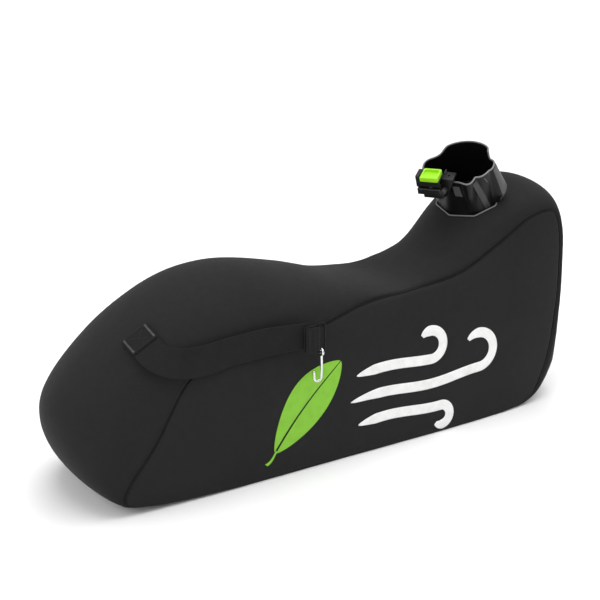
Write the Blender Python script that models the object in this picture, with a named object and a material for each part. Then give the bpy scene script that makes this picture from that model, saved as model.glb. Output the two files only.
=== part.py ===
"""Leaf collection bag with a rigid inlet collar, latch, carrying strap, hook and emptying zip.

Metres, +Z up. The bag stands on its flat base with the origin under its middle; its nose points
to -X, its heel to +X, and the side with the strap faces -Y.
"""
import math

import bmesh
import bpy
from mathutils import Matrix, Vector

# ---------------------------------------------------------------- driving dimensions
WALL = 0.002                # fabric wall, with its coating
GAP = 0.0003                # clearance between neighbouring pieces
ROUNDNESS = 0.8             # how full the top is between its crest and the side seams
HEEL_X = 0.446              # the heel is flat here, where the zip runs
SEAM_SETBACK = 0.0012       # side panels stop this far short of the seam line
EDGE_RISE = 0.06            # the top panels' edges stop at this share of their rise
EDGE_REACH = 0.2            # and then go this share of the way to the seam
CROSS_JOINT = 0.012         # gap between two top panels, in stations
TAPE_INSET = 0.0055         # the seam tape lies this far inside the seam
TAPE_RADIUS = 0.0019

# Stations round the bag, from under the nose over the top to the heel and back along the base:
# seam x, seam z, half width, crest x, crest z.
STATIONS = [
    (-0.345, 0.008, 0.115, -0.340, 0.000),
    (-0.396, 0.030, 0.115, -0.440, 0.044),
    (-0.345, 0.112, 0.122, -0.466, 0.142),
    (-0.288, 0.198, 0.120, -0.389, 0.234),
    (-0.225, 0.213, 0.114, -0.288, 0.303),
    (-0.150, 0.216, 0.109, -0.187, 0.323),
    (-0.060, 0.228, 0.100, -0.070, 0.301),
    (0.030, 0.245, 0.088, 0.030, 0.268),
    (0.120, 0.249, 0.082, 0.120, 0.254),
    (0.215, 0.259, 0.080, 0.198, 0.290),
    (0.295, 0.297, 0.080, 0.272, 0.334),
    (0.355, 0.335, 0.085, 0.338, 0.376),
    (0.402, 0.338, 0.087, 0.412, 0.374),
    (0.420, 0.290, 0.090, 0.446, 0.290),
    (0.416, 0.175, 0.098, 0.446, 0.180),
    (0.393, 0.065, 0.105, 0.446, 0.070),
    (0.345, 0.008, 0.110, 0.370, 0.000),
    (0.200, 0.000, 0.115, 0.200, 0.000),
    (0.000, 0.000, 0.115, 0.000, 0.000),
    (-0.200, 0.000, 0.115, -0.200, 0.000),
]
NOSE, HUMP, SHOULDER, HEEL, BASE = 0, 4, 8.4, 12.2, 16      # where each top panel starts
SIDE_CENTRE = (0.05, 0.14)
SIDE_HALF_WIDTH = 0.122     # the side panels' fullest point

COLLAR_BASE = Vector((0.290, 0.0, 0.354))
COLLAR_LEAN_BACK = math.radians(20)     # towards the nose
COLLAR_LEAN_SIDE = math.radians(12)     # towards the strap's side
COLLAR_TURN = Matrix.Rotation(COLLAR_LEAN_SIDE, 4, "X") @ Matrix.Rotation(-COLLAR_LEAN_BACK, 4, "Y")
COLLAR_AXIS = (COLLAR_TURN @ Vector((0, 0, 1))).normalized()
COLLAR_RADIUS = 0.049
COLLAR_WALL = 0.0025
COLLAR_BACK_HEIGHT = 0.085
COLLAR_FRONT_HEIGHT = 0.072
FLANGE_RADIUS = 0.056
FLANGE_THICKNESS = 0.003
NECK_RADIUS = 0.044         # clear way through the panel and the clamp ring
SETTLE_INNER, SETTLE_OUTER = 0.069, 0.100   # the panel is flat under the flange, then blends
SEAM_HOLD = 0.25            # share of the panel beside each seam that the flat leaves alone
SCREW_CIRCLE = 0.0515
COLLAR_SCREWS = 4
SCREW_TURN = math.radians(33)
SHANK_RADIUS = 0.0014

LATCH_CENTRE = Vector((-0.0681, -0.0088, 0.0965))     # top of the latch, in the collar's frame
LATCH_TURN = math.radians(-53)
LATCH_HALF_WIDTH = 0.0175
LATCH_DEPTH = 0.030
EAR_THICKNESS = 0.0022
PIVOT = (0.006, -0.0165)    # latch pin, back from the middle and down from the top
PIN_RADIUS = 0.0018

STRAP_WIDTH = 0.048
STRAP_THICKNESS = 0.002
# Where the strap's middle line passes over the bag: station, side (-1 is the near seam), lift.
STRAP_ROUTE = [(3.50, -0.34, 0.0025), (3.36, -0.44, 0.0025), (3.20, -0.62, 0.0025),
               (3.20, -0.76, 0.0030), (3.34, -0.87, 0.0030), (3.75, -0.92, 0.0025),
               (4.30, -0.92, 0.0030), (4.80, -0.92, 0.0050), (5.20, -0.93, 0.0095),
               (5.60, -0.94, 0.0164)]
PATCH_LENGTH, PATCH_THICKNESS = 0.026, 0.0016
PATCH_LIFT = 0.0009         # the flat patch clears the strap's curve
PATCH_MARGIN = 0.004        # and is this much narrower

TAB_START = Vector((-0.103, -0.1285, 0.223))    # end of the strap, at its middle
TAB_LENGTH, TAB_HEIGHT = 0.021, 0.040
RING_WIRE = 0.0015
RING_REACH = 0.0125
HOOK_WIRE = 0.0021
HOOK_LENGTH, HOOK_BEND, HOOK_TIP = 0.036, 0.0062, 0.012

ZIP_LOW, ZIP_HIGH = 0.092, 0.276
ZIP_SLOT = 0.0046           # half width of the slot in the heel panel
TOOTH_PITCH, TOOTH_HEIGHT = 0.005, 0.0034
TOOTH_ROOT, TOOTH_REACH = 0.0012, 0.0037    # across the chain, from its middle
SLIDER_Z = 0.262


# ---------------------------------------------------------------- helpers
def clear_scene():
    for obj in list(bpy.data.objects):
        bpy.data.objects.remove(obj, do_unlink=True)


def material(name, colour, roughness, metallic=0.0):
    made = bpy.data.materials.new(name)
    made.use_nodes = True
    shader = made.node_tree.nodes["Principled BSDF"]
    shader.inputs["Base Color"].default_value = (*colour, 1.0)
    shader.inputs["Roughness"].default_value = roughness
    shader.inputs["Metallic"].default_value = metallic
    return made


def add_object(name, bm, finish=None, frame=None, smooth_angle=35):
    mesh = bpy.data.meshes.new(name)
    bm.to_mesh(mesh)
    bm.free()
    mesh.shade_smooth()
    mesh.set_sharp_from_angle(angle=math.radians(smooth_angle))
    obj = bpy.data.objects.new(name, mesh)
    bpy.context.scene.collection.objects.link(obj)
    obj.parent = frame
    if finish:
        mesh.materials.append(finish)
    return obj


def add_frame(name, matrix, parent=None):
    frame = bpy.data.objects.new(name, None)
    bpy.context.scene.collection.objects.link(frame)
    frame.parent = parent
    frame.matrix_local = matrix
    return frame


def block(low, high, bevel=0.0, segments=2):
    bm = bmesh.new()
    bmesh.ops.create_cube(bm, size=1.0)
    low, high = Vector(low), Vector(high)
    bmesh.ops.scale(bm, vec=high - low, verts=bm.verts)
    bmesh.ops.translate(bm, vec=(low + high) / 2, verts=bm.verts)
    if bevel:
        bmesh.ops.bevel(bm, geom=bm.edges[:], offset=bevel, segments=segments, profile=0.5,
                        affect="EDGES", material=-1)
    return bm


def rod(start, end, radius, sides=16):
    start, end = Vector(start), Vector(end)
    bm = bmesh.new()
    turn = (end - start).to_track_quat("Z", "Y").to_matrix().to_4x4()
    bmesh.ops.create_cone(bm, cap_ends=True, segments=sides, radius1=radius, radius2=radius,
                          depth=(end - start).length,
                          matrix=Matrix.Translation((start + end) / 2) @ turn)
    return bm


def loft(rings, closed=False):
    """Skin a list of equal rings of points; a loft that isn't closed gets flat ends."""
    bm = bmesh.new()
    rows = [[bm.verts.new(point) for point in ring] for ring in rings]
    pairs = list(zip(rows, rows[1:])) + ([(rows[-1], rows[0])] if closed else [])
    for here, there in pairs:
        for i in range(len(here)):
            j = (i + 1) % len(here)
            bm.faces.new((here[i], here[j], there[j], there[i]))
    if not closed:
        bm.faces.new(rows[0][::-1])
        bm.faces.new(rows[-1])
    bmesh.ops.recalc_face_normals(bm, faces=bm.faces)
    return bm


def wire(points, radius, sides=8, closed=False):
    """A round wire whose sections stay square to its path."""
    points = [Vector(p) for p in points]
    rings = []
    last = len(points) - 1
    side = None
    for i, point in enumerate(points):
        before = points[i - 1] if (i or closed) else point
        after = points[(i + 1) % len(points)] if (i < last or closed) else point
        along = (after - before).normalized()
        side = along.orthogonal() if side is None else side - along * side.dot(along)
        side.normalize()
        up = along.cross(side)
        turns = [2 * math.pi * k / sides for k in range(sides)]
        rings.append([point + (side * math.cos(t) + up * math.sin(t)) * radius for t in turns])
    return loft(rings, closed)


def arc(centre, radius, start, end, steps):
    """Points on an arc in the XZ plane, angles in degrees from +X towards +Z."""
    turns = [math.radians(start + (end - start) * i / steps) for i in range(steps + 1)]
    return [Vector((centre[0] + radius * math.cos(t), centre[1], centre[2] + radius * math.sin(t)))
            for t in turns]


def cut(obj, *cutters, operation="DIFFERENCE"):
    for cutter in cutters:
        cutter.hide_render = True
        cutter.display_type = "WIRE"
        boolean = obj.modifiers.new(operation.lower(), "BOOLEAN")
        boolean.object = cutter
        boolean.operation = operation
        boolean.solver = "EXACT"


def catmull_rom(a, b, c, d, t):
    return 0.5 * (2 * b + (c - a) * t + (2 * a - 5 * b + 4 * c - d) * t * t
                  + (3 * b - a - 3 * c + d) * t ** 3)


# ---------------------------------------------------------------- the bag's surface
def station_at(u):
    """Seam x, seam z, half width, crest x, crest z at a place between the stations."""
    i = math.floor(u)
    rows = [STATIONS[(i + k) % len(STATIONS)] for k in (-1, 0, 1, 2)]
    seam_x, seam_z, half_width, crest_x, crest_z = (
        catmull_rom(*column, u - i) for column in zip(*rows))
    return seam_x, max(seam_z, 0.0), half_width, min(crest_x, HEEL_X), max(crest_z, 0.0)


def settle(point):
    """Draw the panel flat under the collar's flange."""
    offset = point - COLLAR_BASE
    height = offset.dot(COLLAR_AXIS)
    radius = (offset - COLLAR_AXIS * height).length
    if abs(height) > SETTLE_OUTER or radius > SETTLE_OUTER:
        return point
    t = max(0.0, (radius - SETTLE_INNER) / (SETTLE_OUTER - SETTLE_INNER))
    return point - COLLAR_AXIS * height * (1 - t * t * (3 - 2 * t))


def top_point(u, v):
    """A point of the top at station u, from the near seam (v = -1) to the far one (v = 1)."""
    seam_x, seam_z, half_width, crest_x, crest_z = station_at(u)
    rise = max(0.0, math.cos(v * math.pi / 2)) ** ROUNDNESS
    point = Vector((seam_x + (crest_x - seam_x) * rise, half_width * math.sin(v * math.pi / 2),
                    seam_z + (crest_z - seam_z) * rise))
    away = min(1.0, (1 - abs(v)) / SEAM_HOLD)
    return point.lerp(settle(point), away * away * (3 - 2 * away))


def seam_point(u, side):
    seam_x, seam_z, half_width = station_at(u)[:3]
    return Vector((seam_x, side * half_width, seam_z))


def inward(u):
    """Unit direction in the XZ plane from the seam towards the inside of its loop."""
    step = 0.05
    along = seam_point(u + step, 0) - seam_point(u - step, 0)
    return Vector((along.z, 0, -along.x)).normalized()


# ---------------------------------------------------------------- the bag's pieces
def top_panel(name, start, end, fabric, rows_per_station=3, columns=10):
    """One fabric panel of the strip that runs right round the bag between the two seams."""
    rows = round((end - start) * rows_per_station)
    bm = bmesh.new()
    bmesh.ops.create_grid(bm, x_segments=rows, y_segments=columns, size=1.0)
    edge = 2 / math.pi * math.acos(EDGE_RISE)
    for vert in bm.verts:
        u = start + CROSS_JOINT + (end - start - 2 * CROSS_JOINT) * (vert.co.x + 1) / 2
        v = vert.co.y
        vert.co = top_point(u, v * edge)
        if abs(v) > 0.999:
            vert.co += (seam_point(u, math.copysign(1, v)) - vert.co) * EDGE_REACH
    panel = add_object(name, bm, fabric, smooth_angle=60)
    thicken(panel)
    return panel


def thicken(panel):
    wall = panel.modifiers.new("wall", "SOLIDIFY")
    wall.thickness = WALL
    wall.offset = -1


def side_panel(name, side, fabric, around=60, rings=3):
    """A crowned side panel inside one seam loop."""
    bm = bmesh.new()
    stations = [i * len(STATIONS) / around for i in range(around)]
    rows = []
    for ring in range(rings):
        share = ring / rings
        row = []
        for u in stations:
            start = seam_point(u, side) + inward(u) * (SEAM_SETBACK + GAP)
            centre = Vector((SIDE_CENTRE[0], start.y, SIDE_CENTRE[1]))
            point = start.lerp(centre, share)
            crown = math.sin(math.pi / 2 * min(1.0, share * 1.5))
            point.y += (side * SIDE_HALF_WIDTH - point.y) * crown
            row.append(bm.verts.new(point))
        rows.append(row)
    middle = bm.verts.new((SIDE_CENTRE[0], side * SIDE_HALF_WIDTH, SIDE_CENTRE[1]))
    for here, there in zip(rows, rows[1:]):
        for i in range(around):
            j = (i + 1) % around
            bm.faces.new((here[i], here[j], there[j], there[i]))
    for i in range(around):
        bm.faces.new((rows[-1][i], rows[-1][(i + 1) % around], middle))
    if side > 0:
        bmesh.ops.reverse_faces(bm, faces=bm.faces)
    thicken(add_object(name, bm, fabric, smooth_angle=60))


def seam_tape(name, side, fabric, around=44):
    points = []
    for i in range(around):
        u = i * len(STATIONS) / around
        point = seam_point(u, side) + inward(u) * TAPE_INSET
        point.y -= side * TAPE_INSET
        points.append(point)
    add_object(name, wire(points, TAPE_RADIUS, sides=5, closed=True), fabric)


def bag(fabric, dark_fabric):
    for side, name in ((-1, "near"), (1, "far")):
        side_panel(f"side_panel_{name}", side, fabric)
        seam_tape(f"seam_tape_{name}", side, dark_fabric)
    top_panel("nose_panel", NOSE, HUMP, fabric)
    top_panel("top_panel", HUMP, SHOULDER, fabric)
    shoulder = top_panel("collar_panel", SHOULDER, HEEL, fabric, rows_per_station=5, columns=14)
    heel = top_panel("heel_panel", HEEL, BASE, fabric, rows_per_station=5)
    top_panel("base_panel", BASE, len(STATIONS), fabric)
    return shoulder, heel


# ---------------------------------------------------------------- the collar
def swell(angle, centre, width, power=2):
    """1 at the centre, falling to nothing either side; angles of the centre and width in degrees."""
    off = (math.degrees(angle) - centre + 180) % 360 - 180
    return math.exp(-abs(off / width) ** power)


def collar_outline(angle):
    """Outer radius of the collar at its rim: round, with the latch's pocket, a lobe and flutes."""
    pocket = 0.020 * swell(angle, 142, 30, power=4)
    lobe = 0.0085 * swell(angle, -119, 11)
    flutes = 0.0045 * swell(angle, -100, 7) + 0.005 * swell(angle, -22, 11)
    return COLLAR_RADIUS + pocket + lobe - flutes


def boss_reach(angle, height):
    """A hollow guide boss: it swells out down the collar's side, then cuts back under."""
    under = 0.006 + 0.62 * (height - FLANGE_THICKNESS)
    over = 0.0234 - 0.29 * height
    return max(0.0, min(under, over)) * swell(angle, -45, 20, power=4)


def rim_height(angle):
    """The back of the collar stands higher than the front, with a slope at each step."""
    off = abs((math.degrees(angle) - 41 + 180) % 360 - 180)
    share = min(1.0, max(0.0, (off - 65) / 10))
    return COLLAR_BACK_HEIGHT + (COLLAR_FRONT_HEIGHT - COLLAR_BACK_HEIGHT) * share


def collar_ring(share, height, inset=0.0, points=40):
    """A section of the collar: share 0 is the round neck, 1 is the shaped rim."""
    ring = []
    for i in range(points):
        angle = 2 * math.pi * i / points
        top = rim_height(angle) if height is None else height
        radius = COLLAR_RADIUS + (collar_outline(angle) - COLLAR_RADIUS) * share
        radius += boss_reach(angle, top) - inset
        ring.append((radius * math.cos(angle), radius * math.sin(angle), top))
    return ring


def flange_ring(radius, height, points=40):
    turns = [2 * math.pi * i / points for i in range(points)]
    return [(radius * math.cos(t), radius * math.sin(t), height) for t in turns]


def collar_body(frame, latch_frame, plastic):
    outer = [flange_ring(FLANGE_RADIUS, GAP),
             flange_ring(FLANGE_RADIUS, GAP + FLANGE_THICKNESS),
             collar_ring(0.0, GAP + FLANGE_THICKNESS + 0.001),
             collar_ring(0.3, 0.022), collar_ring(0.8, 0.042), collar_ring(1.0, None)]
    inner = [collar_ring(1.0, None, COLLAR_WALL), collar_ring(0.8, 0.042, COLLAR_WALL),
             collar_ring(0.3, 0.022, COLLAR_WALL), flange_ring(NECK_RADIUS, GAP)]
    body = add_object("collar_body", loft(outer + inner, closed=True), plastic, frame)
    # the latch's ears and back plate are moulded with the collar
    half, depth = LATCH_HALF_WIDTH, LATCH_DEPTH / 2
    ear_low, ear_top = -0.027, -0.0065
    ears = [block((x, -depth + 0.006, ear_low), (x + EAR_THICKNESS, depth + 0.006, ear_top))
            for x in (-half - EAR_THICKNESS, half)]
    plate = block((-half - EAR_THICKNESS - 0.0006, depth - 0.0005, ear_low - 0.018),
                  (half + EAR_THICKNESS + 0.0006, depth + 0.011, ear_top - 0.004))
    bracket = add_object("latch_bracket_shape", ears[0], None, latch_frame)
    other_ear = add_object("latch_ear_shape", ears[1], None, latch_frame)
    back_plate = add_object("latch_plate_shape", plate, None, latch_frame)
    cut(body, bracket, other_ear, back_plate, operation="UNION")
    # clear the inside again, and bore for the pin, the pawl and the screws
    clear = COLLAR_WALL - 0.0002
    bore = add_object("collar_bore", loft([collar_ring(0.3, 0.022, clear), collar_ring(0.8, 0.042, clear),
                                           collar_ring(1.0, None, clear),
                                           collar_ring(1.0, 0.110, clear)]), None, frame)
    pin_hole = add_object("pin_hole", rod((-0.026, PIVOT[0], PIVOT[1]), (0.026, PIVOT[0], PIVOT[1]),
                                          PIN_RADIUS + GAP), None, latch_frame)
    slot = add_object("pawl_slot", block((-0.0058, depth - 0.004, -0.0235),
                                         (0.0058, depth + 0.024, -0.0115)), None, latch_frame)
    cut(body, bore, pin_hole, slot)
    for i in range(COLLAR_SCREWS):
        cut(body, add_object(f"screw_hole_{i}", screw_shank(i), None, frame))


def screw_place(i):
    angle = 2 * math.pi * i / COLLAR_SCREWS + SCREW_TURN
    return Vector((math.cos(angle), math.sin(angle), 0)) * SCREW_CIRCLE


def screw_shank(i):
    """The clearance hole of a screw, blind in the flange."""
    place = screw_place(i)
    return rod(place + Vector((0, 0, -0.010)), place + Vector((0, 0, 0.0024)), SHANK_RADIUS + GAP,
               sides=10)


def clamp_ring(frame, shoulder, plastic, steel):
    """The ring inside the bag that clamps the panel to the collar, and its screws."""
    top = -WALL - GAP
    low = top - 0.003
    rings = [flange_ring(NECK_RADIUS, low), flange_ring(FLANGE_RADIUS, low),
             flange_ring(FLANGE_RADIUS, top), flange_ring(NECK_RADIUS, top)]
    ring = add_object("collar_clamp_ring", loft(rings, closed=True), plastic, frame)
    for i in range(COLLAR_SCREWS):
        hole = add_object(f"clamp_hole_{i}", screw_shank(i), None, frame)
        cut(ring, hole)
        cut(shoulder, hole)
        place = screw_place(i)
        profile = [(0.0026, low - GAP - 0.0016), (0.0028, low - GAP),
                   (SHANK_RADIUS, low - GAP), (SHANK_RADIUS, 0.0020)]
        turned = []
        for radius, height in profile:
            turns = [2 * math.pi * k / 8 for k in range(8)]
            turned.append([place + Vector((radius * math.cos(t), radius * math.sin(t), height))
                           for t in turns])
        add_object(f"collar_screw_{i + 1}", loft(turned), steel, frame)
    mouth = add_object("panel_hole", rod((0, 0, -0.02), (0, 0, 0.02), NECK_RADIUS, sides=48),
                       None, frame)
    cut(shoulder, mouth)


# ---------------------------------------------------------------- the latch
def latch(frame, lever_frame, plastic, green, steel):
    half, depth = LATCH_HALF_WIDTH, LATCH_DEPTH / 2
    y, z = PIVOT
    side_gap = 0.0007
    inner = half - side_gap
    # lower housing: a tray that carries the spring
    tray_top, tray_low, wall = -0.0225, -0.031, 0.0015
    tray = add_object("latch_housing", block((-inner, -depth, tray_low), (inner, depth - 0.001, tray_top),
                                             bevel=0.0012), plastic, frame)
    hollow = add_object("latch_tray_hollow",
                        block((-inner + wall, -depth + wall, tray_low + wall),
                              (inner - wall, depth - 0.001 - wall, tray_top + 0.002)), None, frame)
    cut(tray, hollow)
    # lever: a plate under the button, a boss on the pin and a pawl through the collar's wall
    lever = add_object("latch_lever", block((-inner, -depth + 0.001, -0.0135), (inner, 0.0105, -0.0085),
                                            bevel=0.0008), plastic, lever_frame)
    boss = add_object("latch_boss", rod((-0.0125, y, z), (0.0125, y, z), 0.0046), None, lever_frame)
    skirt = add_object("latch_skirt", block((-inner + 0.0006, -depth + 0.0014, -0.0186),
                                            (inner - 0.0006, -depth + 0.0030, -0.0105)), None, lever_frame)
    pawl = add_object("latch_pawl", block((-0.0048, y, -0.0195), (0.0048, depth + 0.0105, -0.0155)),
                      None, lever_frame)
    cut(lever, boss, pawl, skirt, operation="UNION")
    bore = add_object("lever_bore", rod((-0.03, y, z), (0.03, y, z), PIN_RADIUS + GAP), None, lever_frame)
    cut(lever, bore)
    # green button with a finger scoop
    button = add_object("latch_button", block((-half + 0.0022, -depth - 0.0005, -0.0085 + GAP),
                                              (half - 0.0022, 0.0115, 0.0), bevel=0.0016), green, lever_frame)
    scoop = bmesh.new()
    bmesh.ops.create_uvsphere(scoop, u_segments=20, v_segments=10, radius=1.0)
    bmesh.ops.scale(scoop, vec=(0.0120, 0.0095, 0.0038), verts=scoop.verts)
    bmesh.ops.translate(scoop, vec=(0, -0.003, 0.0006), verts=scoop.verts)
    cut(button, add_object("button_scoop", scoop, None, lever_frame))
    # pin through both ears
    add_object("latch_pin", rod((-half - EAR_THICKNESS - 0.0008, y, z),
                                (half + EAR_THICKNESS + 0.0008, y, z), PIN_RADIUS), steel, frame)
    # return spring between the tray's floor and the lever's outer end
    turns, low, high = 4, tray_low + wall + 0.0012, -0.0149
    coil = [Vector((0.0030 * math.cos(t), -0.0085 + 0.0030 * math.sin(t),
                    low + (high - low) * t / (2 * math.pi * turns)))
            for t in (2 * math.pi * i / 10 for i in range(turns * 10 + 1))]
    add_object("latch_spring", wire(coil, 0.0005, sides=6), steel, frame)


# ---------------------------------------------------------------- strap, ring and hook
def strap_section(share):
    """Underside centre and outward normal of the strap at a share of its route."""
    place = share * (len(STRAP_ROUTE) - 1)
    i = min(int(place), len(STRAP_ROUTE) - 2)
    rows = [STRAP_ROUTE[min(max(0, i + k), len(STRAP_ROUTE) - 1)] for k in (-1, 0, 1, 2)]
    u, v, lift = (catmull_rom(*column, place - i) for column in zip(*rows))
    step = 0.02
    normal = (top_point(u + step, v) - top_point(u - step, v)).cross(
        top_point(u, v + step) - top_point(u, v - step)).normalized()
    return top_point(u, v) + normal * lift, normal


def strap_frames(samples):
    """Point, crosswise, outward and lengthwise directions along the strap."""
    places = [strap_section(i / (samples - 1)) for i in range(samples)]
    frames = []
    for i, (point, normal) in enumerate(places):
        along = (places[min(i + 1, samples - 1)][0] - places[max(i - 1, 0)][0]).normalized()
        across = normal.cross(along).normalized()
        frames.append((point, across, along.cross(across), along))
    return frames


def ribbon(frames, width, low, high):
    rings = []
    for point, across, normal, _ in frames:
        side = across * width / 2
        rings.append([point + side + normal * low, point - side + normal * low,
                      point - side + normal * high, point + side + normal * high])
    return loft(rings)


def strap(webbing):
    frames = strap_frames(28)
    add_object("strap_webbing", ribbon(frames, STRAP_WIDTH, 0.0, STRAP_THICKNESS), webbing)
    point, across, normal, along = frames[2]
    low = STRAP_THICKNESS + PATCH_LIFT
    ends = [(point + along * s, across, normal, along) for s in (-PATCH_LENGTH / 2, PATCH_LENGTH / 2)]
    add_object("strap_patch", ribbon(ends, STRAP_WIDTH - PATCH_MARGIN, low, low + PATCH_THICKNESS), webbing)


def strap_end(webbing, steel):
    """The strap's end, folded round the ring's upright wire, and the ring itself."""
    x, y, z = TAB_START
    bend = RING_WIRE + 0.0008
    thick = 0.0015
    outer = [Vector((x, y - bend - thick, 0)), Vector((x + TAB_LENGTH, y - bend - thick, 0))]
    centre = Vector((x + TAB_LENGTH, y, 0))
    fold = [math.radians(-90 + 180 * i / 8) for i in range(9)]
    outline = [outer[0]]
    outline += [centre + Vector((math.cos(t), math.sin(t), 0)) * (bend + thick) for t in fold]
    outline += [Vector((x, y + bend + thick, 0)), Vector((x, y + bend, 0))]
    outline += [centre + Vector((math.cos(t), math.sin(t), 0)) * bend for t in reversed(fold)]
    outline += [Vector((x, y - bend, 0))]
    rings = [[p + Vector((0, 0, z + side * TAB_HEIGHT / 2)) for p in outline] for side in (-1, 1)]
    add_object("strap_end_tab", loft(rings), webbing)
    # rectangular ring with round corners, open space between its wires
    half, reach, corner = TAB_HEIGHT / 2 + 0.003, RING_REACH, 0.003
    left, right, low, high = centre.x, centre.x + reach, z - half, z + half
    loop = []
    for cx, cz, start in ((right - corner, high - corner, 90), (right - corner, low + corner, 0),
                          (left + corner, low + corner, -90), (left + corner, high - corner, 180)):
        loop += arc((cx, y, cz), corner, start, start - 90, 3)
    add_object("strap_ring", wire(loop, RING_WIRE, closed=True), steel)
    return Vector(((left + right) / 2 + 0.0005, y, low))


def hook(steel, frame):
    """A spring hook hanging from the ring's lower wire; its frame's origin is on that wire."""
    eye_radius = RING_WIRE + HOOK_WIRE + 0.0011
    eye_turns = [2 * math.pi * i / 16 for i in range(16)]
    eye = wire([(0, eye_radius * math.cos(t), eye_radius * math.sin(t)) for t in eye_turns],
               HOOK_WIRE, closed=True)
    shank_top, shank_low = -eye_radius - 0.0004, -eye_radius - HOOK_LENGTH
    path = [Vector((0, 0, shank_top)), Vector((0.0006, 0, (shank_top + shank_low) / 2))]
    path += arc((-HOOK_BEND, 0, shank_low), HOOK_BEND, 0, -180, 10)
    path += [Vector((-2 * HOOK_BEND - 0.0006, 0, shank_low + HOOK_TIP))]
    body = add_object("hook_body", wire(path, HOOK_WIRE), steel, frame)
    cut(body, add_object("hook_eye_shape", eye, None, frame), operation="UNION")


# ---------------------------------------------------------------- the zip in the heel
def zipper(heel, tape_fabric, metal, slider_frame, pull_frame):
    inside = HEEL_X - WALL
    slot = add_object("zip_slot", block((HEEL_X - 0.02, -ZIP_SLOT, ZIP_LOW),
                                        (HEEL_X + 0.02, ZIP_SLOT, ZIP_HIGH)))
    cut(heel, slot)
    for side, name in ((-1, "near"), (1, "far")):
        edges = sorted((side * 0.0005, side * 0.0145))
        add_object(f"zipper_tape_{name}", block((inside - 0.0024, edges[0], ZIP_LOW - 0.006),
                                                (inside - 0.0014, edges[1], ZIP_HIGH + 0.006)), tape_fabric)
    back, face = inside - 0.0011, HEEL_X
    sections = []
    for i in range(int((ZIP_HIGH - ZIP_LOW - 0.016) / TOOTH_PITCH)):
        low = ZIP_LOW + 0.008 + i * TOOTH_PITCH
        side = 1 if i % 2 else -1
        wide = sorted((-side * TOOTH_ROOT, side * TOOTH_REACH))
        sections += [(low, wide), (low + TOOTH_HEIGHT, wide),
                     (low + TOOTH_HEIGHT + 0.0002, (-TOOTH_ROOT / 2, TOOTH_ROOT / 2)),
                     (low + TOOTH_PITCH - 0.0002, (-TOOTH_ROOT / 2, TOOTH_ROOT / 2))]
    add_object("zipper_teeth", loft([[(back, near, z), (face, near, z), (face, far, z), (back, far, z)]
                                     for z, (near, far) in sections]), metal)
    for name, z in (("bottom", ZIP_LOW + 0.001), ("top", ZIP_HIGH - 0.005)):
        add_object(f"zipper_stop_{name}", block((back, -0.0038, z), (face + 0.0002, 0.0038, z + 0.004),
                                                bevel=0.0005), metal)
    front = 0.0004
    slider = add_object("zipper_slider", block((front, -0.0050, -0.0075), (front + 0.003, 0.0050, 0.0075),
                                               bevel=0.0010), metal, slider_frame)
    bridge = add_object("zipper_bridge", block((front + 0.0025, -0.0012, -0.0055),
                                               (front + 0.0062, 0.0012, 0.0055)), None, slider_frame)
    window = add_object("zipper_window", block((front + 0.0030, -0.003, -0.0035),
                                               (front + 0.0051, 0.003, 0.0035)), None, slider_frame)
    cut(slider, bridge, operation="UNION")
    cut(slider, window)
    loop = [(0, -0.003, -0.010), (0, -0.003, -0.001), (0, -0.0022, 0), (0, 0.0022, 0),
            (0, 0.003, -0.001), (0, 0.003, -0.010)]
    pull = add_object("zipper_pull", block((-0.0007, -0.0045, -0.033), (0.0007, 0.0045, -0.009),
                                           bevel=0.0005), metal, pull_frame)
    cut(pull, add_object("pull_loop", wire(loop, 0.0006, sides=8), None, pull_frame),
        operation="UNION")


# ---------------------------------------------------------------- assembly
def main():
    clear_scene()
    fabric = material("charcoal_fabric", (0.035, 0.035, 0.037), 0.85)
    dark_fabric = material("black_webbing", (0.015, 0.015, 0.016), 0.9)
    plastic = material("black_plastic", (0.012, 0.012, 0.013), 0.35)
    green = material("lime_plastic", (0.36, 0.78, 0.03), 0.35)
    steel = material("bright_steel", (0.75, 0.75, 0.76), 0.25, 1.0)

    collar_frame = add_frame("collar_frame", Matrix.Translation(COLLAR_BASE) @ COLLAR_TURN)
    latch_frame = add_frame("latch_frame", Matrix.Translation(LATCH_CENTRE)
                            @ Matrix.Rotation(LATCH_TURN, 4, "Z"), collar_frame)
    lever_frame = add_frame("lever_frame", Matrix(), latch_frame)
    shoulder, heel = bag(fabric, dark_fabric)
    collar_body(collar_frame, latch_frame, plastic)
    clamp_ring(collar_frame, shoulder, plastic, steel)
    latch(latch_frame, lever_frame, plastic, green, steel)
    strap(dark_fabric)
    pivot = strap_end(dark_fabric, steel)
    hook_frame = add_frame("hook_frame", Matrix.Translation(pivot))
    hook(steel, hook_frame)
    slider_frame = add_frame("slider_frame", Matrix.Translation((HEEL_X, 0, SLIDER_Z)))
    pull_frame = add_frame("pull_frame", Matrix.Translation((0.0044, 0, -0.0022)), slider_frame)
    zipper(heel, dark_fabric, steel, slider_frame, pull_frame)


main()
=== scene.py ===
"""Looks of the leaf collection bag: sewn panels, moulded collar, latch, strap, hook and zip."""
import math

import bmesh
import bpy
from mathutils import Matrix, Vector, noise
from mathutils.bvhtree import BVHTree


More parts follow.
